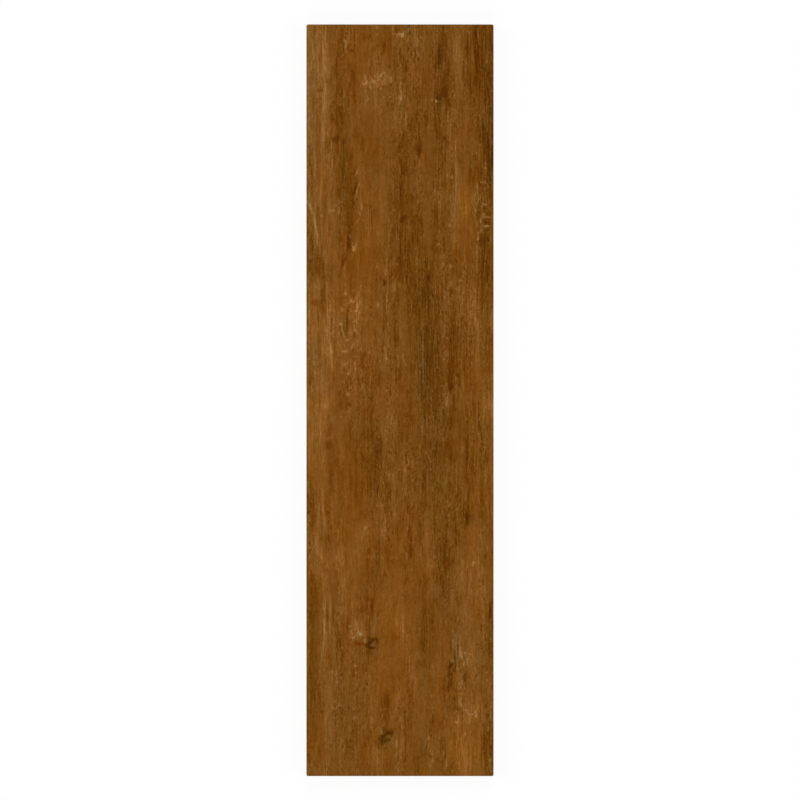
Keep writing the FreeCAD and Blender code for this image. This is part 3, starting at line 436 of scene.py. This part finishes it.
# The plank's own map: the face and the back lie along it in two wide bands, and the walls in thin strips.
corner_of = np.zeros(len(skin.loops), int)
skin.loops.foreach_get("vertex_index", corner_of)
sides = np.zeros(len(polygons), int)
skin.polygons.foreach_get("loop_total", sides)
facing = np.zeros(len(polygons) * 3)
skin.polygons.foreach_get("normal", facing)
facing = np.repeat(facing.reshape(-1, 3), sides, axis=0)
which = np.repeat(np.arange(len(polygons)), sides)
spot = points[corner_of]
u = strip(0.01, 0.98, spot[:, 1], 300)
v = strip(0.01, 0.57, spot[:, 0], 75)
on_back = which >= len(face_quads) + WALL_BANDS
v[on_back] = strip(0.70, 0.29, spot[on_back, 0], 75)
on_wall = (which >= len(face_quads) + EASED_BANDS) & ~on_back
long_side = on_wall & (np.abs(facing[:, 0]) >= np.abs(facing[:, 1]))
short_side = on_wall & ~long_side
v[long_side] = 0.59 + 0.035 * (facing[long_side, 0] > 0) + 0.03 * spot[long_side, 2] / THICKNESS
v[short_side] = 0.66 + 0.03 * spot[short_side, 2] / THICKNESS
u[short_side] = 0.45 * (facing[short_side, 1] > 0) + strip(0.01, 0.4, spot[short_side, 0], 75)
skin.uv_layers.new(name="OFBake").data.foreach_set("uv", np.stack([u, v], 1).astype(np.float32).ravel())

scene = bpy.context.scene


def placed(name, data):
    """A new object of that name in the scene."""
    thing = bpy.data.objects.new(name, data)
    scene.collection.objects.link(thing)
    return thing


tile = placed("glazed_tile", skin)


# The face's coat is a satin glaze over the print. It runs about two millimetres down the wall and stops in an
# uneven line. Under it and on the back the fired body is bare, a speckled greige, with pale kiln wash on the
# ribs. Both are made of nodes on the plank's own coordinates, in millimetres.
def feed(value, socket):
    """Sets an input to a number, or links it to the output that feeds it."""
    if isinstance(value, bpy.types.NodeSocket):
        socket.id_data.links.new(value, socket)
    elif value is not None:
        socket.default_value = value


def new_group(name, takes, gives):
    """An empty node group, with what its named inputs of each kind bring and what its outputs give."""
    group = bpy.data.node_groups.new(name, "ShaderNodeTree")
    for in_out, sockets in (("INPUT", takes), ("OUTPUT", gives)):
        for label, kind in sockets.items():
            group.interface.new_socket(label, in_out=in_out, socket_type="NodeSocket" + kind)
    return group, group.nodes.new("NodeGroupInput").outputs, group.nodes.new("NodeGroupOutput").inputs


def put(tree, kind, *given, out=0, **settings):
    """A node with its settings, and its inputs in order. Gives one output, or all of them."""
    node = tree.nodes.new("ShaderNode" + kind)
    for key, value in settings.items():
        setattr(node, key, value)
    for value, socket in zip(given, node.inputs):
        feed(value, socket)
    return node.outputs if out is None else node.outputs[out]


def beside(given):
    """The node tree of the first output that is given."""
    return next(value.id_data for value in given if isinstance(value, bpy.types.NodeSocket))


def sums(do, *given):
    return put(beside(given), "Math", *given, operation=do)


def times(value, by):
    return sums("MULTIPLY", value, by)


def plus(base, value, by=1.0):
    """base + value by."""
    return sums("MULTIPLY_ADD", value, by, base)


def vectors(do, *given, out=0):
    return put(beside(given), "VectorMath", *given, operation=do, out=out)


def joined(x, y, z=0.0):
    return put(x.id_data, "CombineXYZ", x, y, z)


def strand(place, width, length, layer, detail=1.0, rough=0.5):
    """Noise about 0, stretched to strands of that width and length in mm. The layer picks a fresh pattern."""
    tree = place.id_data
    stretched = put(tree, "Mapping", place, (0, 0, layer), (0, 0, 0), (1 / width, 1 / length, 1.0))
    noise = tree.nodes.new("ShaderNodeTexNoise")
    for name, value in (("Vector", stretched), ("Scale", 1.0), ("Detail", detail), ("Roughness", rough)):
        feed(value, noise.inputs[name])
    return sums("SUBTRACT", noise.outputs[0], 0.5)


def step_up(value, start, full, before=0.0, after=1.0):
    """The value before at the start, the value after when full, and smooth between."""
    return put(value.id_data, "MapRange", value, start, full, before, after, interpolation_type="SMOOTHSTEP")


grain_flow, taken, given = new_group("grain_flow", {"Place": "Vector"}, {"Flow": "Vector"})
place = taken[0]
sway, quiver, slip = strand(place, 24, 80, 3), strand(place, 4.5, 14, 5), strand(place, 1.6, 12, 7)
feed(vectors("ADD", place, joined(plus(times(sway, 5.0), quiver, 0.8), times(slip, 4.0))), given[0])

wood_fibre, taken, given = new_group("wood_fibre", {"Flow": "Vector", "Busy": "Float"},
                                     {"Tone": "Float", "Heat": "Float", "Line": "Float", "Height": "Float"})
flow, busy = taken[0], taken[1]
# Soft fibres are: width, length, layer and tone. Dashes are: width, length, layer, the noise where a dash
# starts and where it is full, its tone when the grain is calm, and the tone added when it is busy.
SOFT_FIBRES = [(1.5, 4.6, 2, 34), (2.2, 60, 4, 18), (3.8, 14, 5, 27.5), (9, 40, 6, 20), (1, 1.3, 10, 26.5)]
DASHES = [(1.1, 3.5, 1, 0.05, 0.19, -9, -26), (1, 22, 3, 0.06, 0.2, -6, -21), (1, 2.6, 7, 0.07, 0.2, 12, 18),
          (1.1, 22, 8, 0.07, 0.2, 5, 16), (0.85, 1.1, 9, 0.12, 0.24, 15, 10)]
fibres, dashed = -1.0, 0.0
for width, length, layer, gain in SOFT_FIBRES:
    fibres = plus(fibres, strand(flow, width, length, layer), gain)
for width, length, layer, start, full, calm_tone, busy_tone in DASHES:
    dash = step_up(strand(flow, width, length, layer), start, full)
    dashed = plus(dashed, dash, plus(calm_tone, busy, busy_tone))
warm = plus(times(strand(flow, 7, 20, 12), 7.0), strand(flow, 2, 8, 11), 7.0)
thin_line = plus(times(strand(flow, 1.1, 7, 14), 1.8), strand(flow, 1, 26, 13), 3.6)
height = plus(times(fibres, 0.01), dashed, 0.02)
for value, socket in zip((sums("ADD", fibres, dashed), warm, thin_line, height), given):
    feed(value, socket)

ray_flecks, taken, given = new_group("ray_flecks", {"Place": "Vector"}, {"Pale": "Float", "Dark": "Float"})
place = taken[0]
bend = joined(times(strand(place, 3, 3.4, 31), 4.0), times(strand(place, 2.6, 3, 32), 5.0))
bent = vectors("ADD", place, bend)
curl = sums("ABSOLUTE", strand(bent, 3, 2.6, 33, 0))
broken = step_up(strand(bent, 2.2, 2.4, 34, 0), -0.04, 0.05)
feed(times(step_up(curl, 0.01, 0.075, 1.0, 0.0), broken), given["Pale"])
feed(step_up(strand(bent, 1.6, 3, 35, 0), 0.08, 0.2), given["Dark"])

# A spot is 1 inside and 0 outside an ellipse, and smooth between. Its two lines of numbers turn a place
# (x, y, 1) into distances in half-widths and half-lengths.
inked_spot, taken, given = new_group(
    "inked_spot", {"Place": "Vector", "Sideways": "Vector", "Lengthways": "Vector"}, {"Mask": "Float"})
a, b = (vectors("DOT_PRODUCT", taken[0], taken[line], out=1) for line in (1, 2))
feed(step_up(plus(times(b, b), a, a), 0.15, 1.6, 1.0, 0.0), given[0])

# A colour of the print is its mean brown, in sRGB, moved along a light to dark line by the tone and along a
# red to grey line by the heat, and then made linear. Very dark tones are softened. Blue gives way first where
# the print is dark, so that its darkest marks stay a warm brown.
MEAN_BROWN = (117.4 / 255, 72.6 / 255, 21.6 / 255)
LIGHTER = (0.61 / 255, 0.62 / 255, 0.62 / 255)
REDDER = (0.68 / 255, -0.2 / 255, -1.0 / 255)
DARKEST = (0.02, 0.012, 0.004)
CURVE_OFFSET, CURVE_SCALE, CURVE_POWER = (0.055, 0.055, 0.055), (0.94787, 0.94787, 0.94787), 2.4
pigment, taken, given = new_group("pigment", {"Tone": "Float", "Heat": "Float"}, {"Color": "Color"})
shade, warmth = taken[0], taken[1]
inked = sums("MAXIMUM", shade, plus(-10.0, shade, 0.6))
lit = vectors("MULTIPLY", joined(inked, inked, plus(inked, sums("MINIMUM", inked, 0.0), 0.6)), LIGHTER)
red = vectors("MULTIPLY", joined(warmth, warmth, warmth), REDDER)
brown = vectors("MAXIMUM", vectors("ADD", vectors("ADD", lit, red), MEAN_BROWN), DARKEST)
brown = vectors("MULTIPLY", vectors("ADD", brown, CURVE_OFFSET), CURVE_SCALE)
feed(put(pigment, "Gamma", brown, CURVE_POWER), given[0])


def new_material(name, roughness, specular):
    """A material with its tree, its shader's inputs, and its place in millimetres with the height alone."""
    material = bpy.data.materials.new(name)
    material.use_nodes = True
    tree = material.node_tree
    shader = tree.nodes["Principled BSDF"].inputs
    feed(roughness, shader["Roughness"])
    feed(specular, shader["Specular IOR Level"])
    place = vectors("SCALE", put(tree, "TexCoord", out="Object"), None, None, 1000.0)
    return material, tree, shader, place, put(tree, "SeparateXYZ", place, out=2)


def blended(share, first, second):
    """Two colours mixed by a share, each a colour or the output that feeds it."""
    return put(share.id_data, "Mix", share, *[None] * 5, first, second, data_type="RGBA", out=2)


def bumped(shader, strength, depth, height):
    """The shader's normal tilted by a height, at that strength and depth in metres."""
    bump = height.id_data.nodes.new("ShaderNodeBump")
    for name, value in (("Strength", strength), ("Distance", depth), ("Height", height)):
        feed(value, bump.inputs[name])
    feed(bump.outputs[0], shader["Normal"])


# The small crisp marks of the print, with the strokes' columns: two knots of several lobes, a drying crack,
# pins and the sharp ends of streaks.
KNOTS_AND_SPOTS = [
    (52.2, 494, 5, 5, -15, -5, -0.3), (63.6, 568, 5.2, 6, -15, -5, -0.3),
    (115.2, 514.5, 2.2, 8, -9, -3, -0.2), (50.4, 493.9, 1.7, 1, -42, -1, -0.5),
    (52.5, 491.9, 1.3, 1.3, -34, 0, -0.8), (54.9, 490.5, 2, 1.1, -25), (56.8, 492.7, 1, 1.9, -20, 0, 0.2),
    (49.8, 489.2, 0.9, 1.8, -20, -1, 0.9), (53.6, 495.1, 1.7, 1.1, 12, -4, 0.3),
    (48.6, 496.2, 1.7, 1.5, -24, -4), (52, 497.7, 2.6, 1, -24, -4), (44.6, 494.6, 3.6, 0.8, -14, 1),
    (40.6, 494.9, 1.8, 1.1, -8, 9), (47, 492, 1.5, 1.7, 8, -3), (42.4, 486.4, 2.8, 1.5, 8, -4),
    (55.6, 500.4, 1.7, 3.2, -1, -7), (48.6, 501.4, 4, 2, -7, -1), (65.4, 565.4, 2.1, 1.1, -38),
    (68.5, 565.7, 1.2, 1.5, -22), (68.4, 563.2, 0.9, 1.5, -16), (62.3, 567.5, 1.7, 1.1, -34, 0, -0.5),
    (60.8, 569.2, 1.1, 1.7, -24, -1), (62.2, 562.3, 1.3, 1.7, -16), (62.6, 571.5, 1.3, 1.3, -22, -1),
    (65.9, 571.1, 1.3, 0.9, -20, -2), (65.4, 568.5, 2, 1.1, 13, -5), (66.8, 573.6, 1.8, 2.8, -1, -8),
    (58.6, 573, 3.6, 4.4, -9, -4), (63.2, 577.4, 1.3, 1.3, -10), (59.4, 565.3, 1.7, 1.3, 11, -1),
    (57, 562.8, 4, 1.6, 6, -1), (118.4, 506, 1.6, 1.8, -18, -4, -0.4),
    (115.5, 511.6, 1.1, 2.3, -46, -2, -0.55), (118.6, 513.6, 0.7, 3.2, -20, 0, -0.3),
    (114, 519, 0.9, 4, -24, -4, -0.15), (116.2, 519.6, 0.8, 4.4, -18, -2, -0.1),
    (112.9, 529.8, 1.2, 3.2, -26, -4), (115, 525.6, 1.8, 4, -10, -1), (124, 503.6, 1, 4, 16, -3, 0.2),
    (128.4, 509.6, 0.7, 4.4, 10, -2), (62.5, 206.4, 1, 2.2, -46, -2), (76.4, 156, 1.9, 2.6, -26, -1, -0.2),
    (78.4, 153.6, 1.8, 0.9, -18), (34, 303.2, 1.2, 1.8, -20), (7.2, 223, 1.3, 1.6, -12),
    (90.4, 101, 1.6, 1.8, -20, -1), (105.4, 22.6, 1, 5, -14, -4), (111.6, 54.6, 1.8, 3.6, -16, -2),
    (136.8, 23, 0.9, 8, -14, 2), (144.2, 93, 1.2, 4, -14, -2), (128.7, 363, 0.8, 5, -16, 1),
    (129.4, 393, 0.8, 4, -16, -2), (115.6, 289, 0.9, 3, -18, 1), (114.2, 160.4, 1.2, 1.2, 24, -5),
    (115.3, 193, 1.2, 1.4, 24, -3), (33.2, 295.4, 1.1, 1.3, 14, -2), (38.2, 254.6, 1.2, 1.4, 14, -2),
    (56.8, 371, 0.9, 4, -14), (146.9, 470, 0.9, 6, -16), (98.4, 202, 0.8, 2.4, -8),
    (8.2, 131.8, 0.7, 1.1, 20),
]
# The pale lines that the wood's rays draw in the print, and the dark that they curl round.
RAY_LINES = [
    (142.4, 114.9, 1, 0.8, 19, -2), (146.8, 118.5, 0.7, 1.2, 17, -4), (136.2, 129.5, 0.8, 4, 20, -2, -0.05),
    (141.2, 126, 2.4, 0.6, 19, -2), (144.6, 128.4, 0.6, 2, 19, -2, 0.3),
    (137.6, 140, 0.7, 4.4, 21, -2, -0.37), (135, 148.5, 0.6, 1.5, 19, -1), (142, 143.8, 1.8, 0.7, 21, -3),
    (139.4, 146.8, 0.6, 1.8, 21, -3, -0.6), (142, 151.6, 0.9, 0.9, 19, -2), (143.5, 154, 3.2, 0.6, 20, -2),
    (139.2, 156.5, 0.6, 2, 19, -2), (143.8, 161, 3.6, 0.7, 27, -2), (139.6, 165, 0.6, 1.8, 18, -1),
    (137.2, 170.8, 0.8, 0.9, 18, -1), (130.8, 164, 0.7, 1.2, 13), (139.2, 179.5, 0.8, 2.2, 15, -5),
    (136, 183.5, 0.6, 5, 17, -1), (117.2, 152.4, 0.7, 1.2, 15, -2), (116.4, 156.4, 0.7, 1.2, 15, -2),
    (116, 122.4, 0.7, 1.4, 13, -2), (142.4, 158, 2.6, 0.8, -14, -1), (142.8, 147, 2.2, 0.9, -12, -1),
    (141.2, 128.5, 2, 0.9, -14, -2), (31, 215, 1.1, 1.2, 14, -1), (37, 212.4, 1.5, 0.7, 14, -2),
    (42, 216, 0.6, 3, 13, -1), (32.4, 240, 0.7, 9, -17, -4), (30.6, 245.5, 0.5, 3, -10, -2, 0.15),
    (31.6, 218.5, 1.6, 1, -10), (43.5, 259.4, 0.7, 1.6, 12), (38.4, 242.5, 0.6, 3, 14, -2),
    (38.6, 271, 0.7, 2.6, 12, -1), (44.2, 246, 0.7, 3, -9, -2), (27.5, 245, 0.6, 4.5, -8, 0, 0.2),
    (38, 265, 1.2, 0.7, 9, -2), (35.2, 221, 0.6, 2.2, 19, -2, -0.5), (38, 221, 0.6, 2.2, 19, -2, -0.5),
    (40.8, 225, 0.6, 2.2, 19, -2), (39, 228.6, 1.6, 0.8, 21, -1), (57.2, 224, 0.7, 2, 14, -1),
    (28.4, 228, 0.7, 1.6, 15, -1), (34.4, 233.5, 0.6, 2.4, 17, -2), (38.6, 237, 0.7, 1.5, 19, -2, -1),
    (27.6, 239, 1, 1.1, 23, -2), (29.4, 246, 0.6, 4.4, 15, -2, 0.3), (32.7, 252, 1.8, 0.7, 15, -2),
    (35, 246, 0.6, 4.5, 13, -2), (36.8, 257, 0.6, 2.2, 19, -2, -0.55), (30.4, 261, 2.4, 0.6, 17, -1),
    (30.4, 271.5, 1.2, 1.2, 15, -4), (35.6, 269, 0.7, 1.2, 15, -1), (39.2, 275, 1, 0.9, 16, -1),
    (33.6, 279, 0.8, 1.4, 14, -1), (3.2, 146.5, 0.7, 6.5, 16, -2, 0.48), (7.4, 160, 0.7, 7, 16, -2, 0.16),
    (8.5, 171.5, 0.7, 5, 14, -2), (12, 152.6, 0.7, 1.2, 13, -1), (20.5, 148.6, 2, 0.7, 14, -2),
    (25.7, 150, 0.6, 3, 14, -1), (40.4, 118.2, 0.6, 3, 18, -2, -0.42), (41, 131.5, 0.6, 5.5, 18, -2, -0.32),
    (38.8, 139.5, 0.6, 2.6, 16, -2, -0.22), (44, 145, 0.6, 3.5, 14, -1), (42.2, 151, 0.8, 1.2, 14, -1),
    (29.7, 155.5, 0.7, 1.6, 13, -1), (40.5, 157.7, 0.7, 1.4, 13, -1), (36, 170, 1.1, 3, 10, -6),
    (39.1, 176.8, 0.6, 3.4, 18, -2, -0.29), (38.2, 180.4, 0.9, 0.9, 20, -2), (57, 167, 0.7, 2, 13, -1),
    (56.5, 192.5, 0.7, 2, 12, -1), (29.4, 190, 0.8, 4, -16, 3, -0.35), (38.9, 131, 0.8, 5, -14, -2, -0.32),
    (38.6, 117.6, 0.7, 2.6, -12, -2, -0.42), (72.8, 7.6, 3.2, 0.8, 20, -2), (76.2, 9, 0.9, 1.2, 20, -2),
    (80.3, 4.6, 0.8, 2.6, 8, -8, -1.2), (81, 7.8, 0.8, 1.8, -14, -3, -1), (31.3, 17, 0.7, 4.5, 15, -2),
    (30.5, 13.2, 1.3, 0.8, 14, -2), (33.7, 19, 0.9, 3.4, -18, -1), (46.6, 42, 0.8, 2.4, 14, -2, 0.1),
    (48.2, 46.4, 1, 1.6, 18, 1), (45.4, 47.4, 1.6, 0.7, 14), (52.4, 44, 0.7, 2.4, 13, -2),
    (50.5, 48, 0.8, 2, 13, -2), (59.6, 40.6, 0.7, 1.8, 15, -2, -0.6), (62.3, 38.6, 1.6, 0.7, 15, -2),
    (64, 41, 0.7, 1.6, 13, -2, 0.3), (57.8, 43.6, 0.8, 1.2, 14, -2), (67.4, 44.4, 0.7, 2.6, 14, -1),
    (59.5, 51.2, 1.2, 1, 13, -1), (104.2, 61.6, 1.2, 0.9, 24, -2), (100.8, 60.4, 0.8, 1, 18, -2),
    (104.4, 58.8, 1.4, 1, -14, -3), (48.6, 60, 0.9, 2.2, 13, -3, -0.3), (75.6, 57.5, 0.7, 4, 12, -4),
    (74, 63, 0.8, 1.4, 14, -2), (73.6, 36, 0.8, 5, -12, -1), (79.8, 34, 0.8, 4.5, -12, -1),
    (50, 31, 0.7, 4, 12, -1, -0.1), (62.4, 17, 1, 1.6, -12, 3), (66.2, 34, 0.9, 1.5, -12, 1),
    (59.8, 24, 1, 1.2, -10, 2), (122.4, 503.5, 0.8, 3.5, 12, -3), (126, 511, 0.7, 2.6, 12, -2, 0.2),
    (125.3, 505.3, 0.6, 1.6, -12, -2, 0.3), (117, 508.5, 0.8, 2.6, 8, -4),
    (128.4, 548, 0.6, 1.6, 14, -2, 0.5), (131.6, 550.4, 2.4, 0.6, 15, -3), (134.4, 548.6, 0.8, 1.2, 18, -3),
    (135.6, 551.5, 0.8, 2.4, 16, -3), (138.6, 537, 0.6, 4.6, 14, -1), (137.2, 544.6, 0.6, 1.8, 14, -1, -0.4),
    (119.6, 557, 1.2, 1, 20, -6), (123.2, 541, 1, 4.6, 9, -6), (126.8, 566.3, 1, 1.1, 13, -2),
    (126.8, 521, 0.8, 4, -14), (109.6, 582, 0.6, 4, 14, -3), (111.6, 589, 0.6, 4, 12, -3),
    (121, 547, 1, 3.4, -12), (146, 500, 1, 5, -12, -1), (14.4, 463, 0.6, 6.5, 10, -2),
    (14.2, 479, 0.7, 6, 11, -1), (13.4, 494, 0.6, 8, 9, -1), (18.6, 481, 0.6, 5.5, 10),
    (19.2, 467, 0.7, 6, 12, -1), (16.8, 470, 0.6, 9, -12, -1), (21.4, 470, 0.6, 10, -12, -1),
    (24.6, 494, 0.6, 4, -14, -1), (33.2, 478, 0.6, 6, -12), (34.6, 480.4, 1.1, 0.8, 16, -2),
    (37.6, 489.4, 1.2, 0.8, 14, -3), (43, 486.6, 1.6, 1, 13, -3), (39, 512, 0.9, 0.8, 14, -1),
    (39.6, 517.6, 0.9, 0.8, 14, -1), (20.6, 517, 0.9, 1.6, 12, -1), (20.8, 545, 0.7, 1.6, 15, -1),
    (25, 541.6, 1.8, 0.6, 15, -1), (27.4, 543.4, 0.7, 1, 14, -1), (12.2, 549, 0.9, 1.2, -16, -1),
    (38, 553.6, 1, 1.2, 13, -2),
]
# How much wider each kind is drawn, in mm, how strong its tone is, and how ragged its outline is.
DRAWN = ((RAY_LINES, 0.28, 2.0, (0.35, 0.5, 0)), (KNOTS_AND_SPOTS, 0.2, 1.6, (0.75, 0.75, 0)))
SPOT_HEAT, PALE_FLECK, DARK_FLECK, SATIN = 1.5, 46.0, 22.0, 0.33

printed_glaze, tree, glaze, millimetres, height = new_material("printed_glaze", SATIN, 0.14)
flow = put(tree, "Group", millimetres, node_tree=grain_flow)
drawn_tone, drawn_heat, drawn_rays = [put(tree, "Attribute", attribute_name=name, out=2)
                                      for name in ("tone", "warmth", "rays")]
# The grain is busiest in the grey and dark columns, and calm in the warm ones.
busy = plus(plus(0.5, drawn_tone, -0.008), drawn_heat, -0.07)
busy = step_up(plus(busy, strand(flow, 8, 90, 17), 2.6), 0.0, 1.0)
fibre = put(tree, "Group", flow, busy, node_tree=wood_fibre, out=None)
all_tone = plus(fibre["Tone"], drawn_tone, sums("ADD", fibre["Line"], 1.0))
all_heat = sums("ADD", fibre["Heat"], drawn_heat)
pale, dark = put(tree, "Group", millimetres, node_tree=ray_flecks, out=None)
flecks = sums("SUBTRACT", times(pale, PALE_FLECK), times(dark, DARK_FLECK))
all_tone = sums("ADD", all_tone, times(flecks, drawn_rays))

# A mark is placed on the plank in mm from its left edge and top end, with its outline a little ragged.
from_corner = vectors("MULTIPLY_ADD", millimetres, (1, -1, 0), (LEFT_EDGE, TOP_END, 1))
ragged = joined(times(strand(millimetres, 1.2, 1.8, 41), 2.6),
                times(strand(millimetres, 1.2, 1.8, 42), 3.0))
for spots, wider, strength, raggedness in DRAWN:
    place = vectors("MULTIPLY_ADD", ragged, raggedness, from_corner)
    for at, down, half, reach, shade, *more in spots:
        warmth, lean = (more + [0, 0])[:2]
        half, reach = half + wider, reach + wider
        sideways = (1 / half, -lean / half, (lean * down - at) / half)
        mask = put(tree, "Group", place, sideways, (0.0, 1 / reach, -down / reach), node_tree=inked_spot)
        all_tone = plus(all_tone, mask, strength * shade)
        all_heat = plus(all_heat, mask, SPOT_HEAT * warmth)
wood_colour = put(tree, "Group", all_tone, all_heat, node_tree=pigment)

# Where the glaze ends on the wall, the body's greige shows through an uneven line.
GREIGE = (0.434, 0.352, 0.275, 1.0)
covered = step_up(plus(height, strand(millimetres, 9, 9, 51, 3), 3.0), 6.5, 6.8)
feed(blended(covered, GREIGE, wood_colour), glaze["Base Color"])
roughness = plus(SATIN, strand(flow, 3, 12, 61), 0.2)
feed(plus(roughness, sums("SUBTRACT", 1.0, covered), 0.4), glaze["Roughness"])
bumped(glaze, 0.5, 0.0001, plus(fibre["Height"], strand(millimetres, 0.4, 0.4, 62), 0.4))

# The body's clay clouds between two greiges, with dark and pale specks, and the wash lies on the ribs alone.
CLAY_DARK, CLAY_PALE = (0.36, 0.285, 0.215, 1.0), (0.51, 0.42, 0.335, 1.0)
DARK_SPECK, PALE_SPECK = (0.13, 0.085, 0.055, 1.0), (0.68, 0.62, 0.55, 1.0)
KILN_WASH = (0.72, 0.69, 0.64, 1.0)
fired_body, tree, body, millimetres, height = new_material("fired_body", 0.82, 0.3)
clay = blended(sums("ADD", strand(millimetres, 22, 30, 71, 3, 0.6), 0.5), CLAY_DARK, CLAY_PALE)
speck = step_up(strand(millimetres, 0.5, 0.5, 72, 0), 0.2, 0.27)
clay = blended(times(speck, 0.7), clay, DARK_SPECK)
pale_speck = step_up(strand(millimetres, 0.7, 0.7, 73, 0), 0.22, 0.3)
clay = blended(times(pale_speck, 0.5), clay, PALE_SPECK)
rib = step_up(height, 0.02, 0.12, 1.0, 0.0)
wash = step_up(strand(millimetres, 7, 10, 74, 4, 0.65), -0.06, 0.16)
clay = blended(times(times(rib, wash), 0.55), clay, KILN_WASH)
feed(clay, body["Base Color"])
bumped(body, 0.6, 0.0002, plus(strand(millimetres, 2, 2, 76, 2), strand(millimetres, 0.5, 0.5, 75, 2), 0.6))

skin.materials.append(printed_glaze)
skin.materials.append(fired_body)
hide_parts("plank_tile")
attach(tile, "root")


# The floor is a plain white studio sheet. To the eye and in reflections it is near white, and a small part of
# it takes the lamps' light, so that the plank keeps a faint shadow on it.
WHITE_SHARE, SHEET_HALF, SHEET_LINES = 0.88, 3.0, 9
spread = np.linspace(-SHEET_HALF, SHEET_HALF, SHEET_LINES)
sheet_x, sheet_y = (part.ravel() for part in np.meshgrid(spread, spread, indexing="ij"))
sheet = bpy.data.meshes.new("studio_floor")
sheet.from_pydata(np.stack([sheet_x, sheet_y, 0 * sheet_x], 1).tolist(), [],
                  facets(np.arange(SHEET_LINES ** 2).reshape(SHEET_LINES, SHEET_LINES)).tolist())
studio_floor = placed("studio_floor", sheet)
white_sheet = bpy.data.materials.new("white_sheet")
white_sheet.use_nodes = True
tree = white_sheet.node_tree
tree.nodes.clear()
seen = put(tree, "LightPath", out=None)
looked_at = sums("MAXIMUM", seen["Is Camera Ray"], seen["Is Glossy Ray"])
looked_at = sums("MAXIMUM", looked_at, seen["Is Transmission Ray"])
matt = put(tree, "BsdfDiffuse", (0.96, 0.96, 0.96, 1.0))
glow = put(tree, "Emission", (1.0, 1.0, 1.0, 1.0), 1.0)
floor_mix = put(tree, "MixShader", times(looked_at, WHITE_SHARE), matt, glow)
feed(floor_mix, tree.nodes.new("ShaderNodeOutputMaterial").inputs["Surface"])
sheet.materials.append(white_sheet)


# The light is a plain soft studio: four wide lamps low on four sides, in a room whose walls are white and
# whose ceiling is dim, so that the glaze isn't washed out from above. Each lamp is: name, degrees round,
# degrees from overhead, and strength.
LAMPS = [("lamp_left", 168, 61, 1.48), ("lamp_right", -8, 62, 1.34),
         ("lamp_far", 84, 62, 1.41), ("lamp_near", -98, 62, 1.41)]
LAMP_SPREAD = 34.0
WHITE_WALLS, DIM_CEILING = (1.0, 1.0, 1.0, 1.0), (0.03, 0.03, 0.03, 1.0)
for name, azimuth, polar, strength in LAMPS:
    lamp = bpy.data.lights.new(name, "SUN")
    lamp.energy = strength
    lamp.angle = np.radians(LAMP_SPREAD)
    placed(name, lamp).rotation_euler = (0.0, np.radians(polar), np.radians(azimuth))
world = bpy.data.worlds.new("studio")
scene.world = world
world.use_nodes = True
tree = world.node_tree
tree.nodes.clear()
level = put(tree, "SeparateXYZ", put(tree, "TexCoord", out="Generated"), out=2)
room = blended(step_up(level, 0.15, 0.6), WHITE_WALLS, DIM_CEILING)
feed(put(tree, "Background", room, 1.0), tree.nodes.new("ShaderNodeOutputWorld").inputs["Surface"])


# The camera hangs straight over the plank and looks down on its face, with the plank's length up the picture.
CAMERA_HEIGHT, CAMERA_SHIFT = 1.7731, 0.0002
lens = bpy.data.cameras.new("over_plank")
lens.lens = 100.0
lens.sensor_width = 36.0
lens.clip_end = 50.0
scene.camera = placed("over_plank", lens)
scene.camera.location = (0.0, CAMERA_SHIFT, CAMERA_HEIGHT + THICKNESS * MM)
scene.view_settings.view_transform = "Standard"
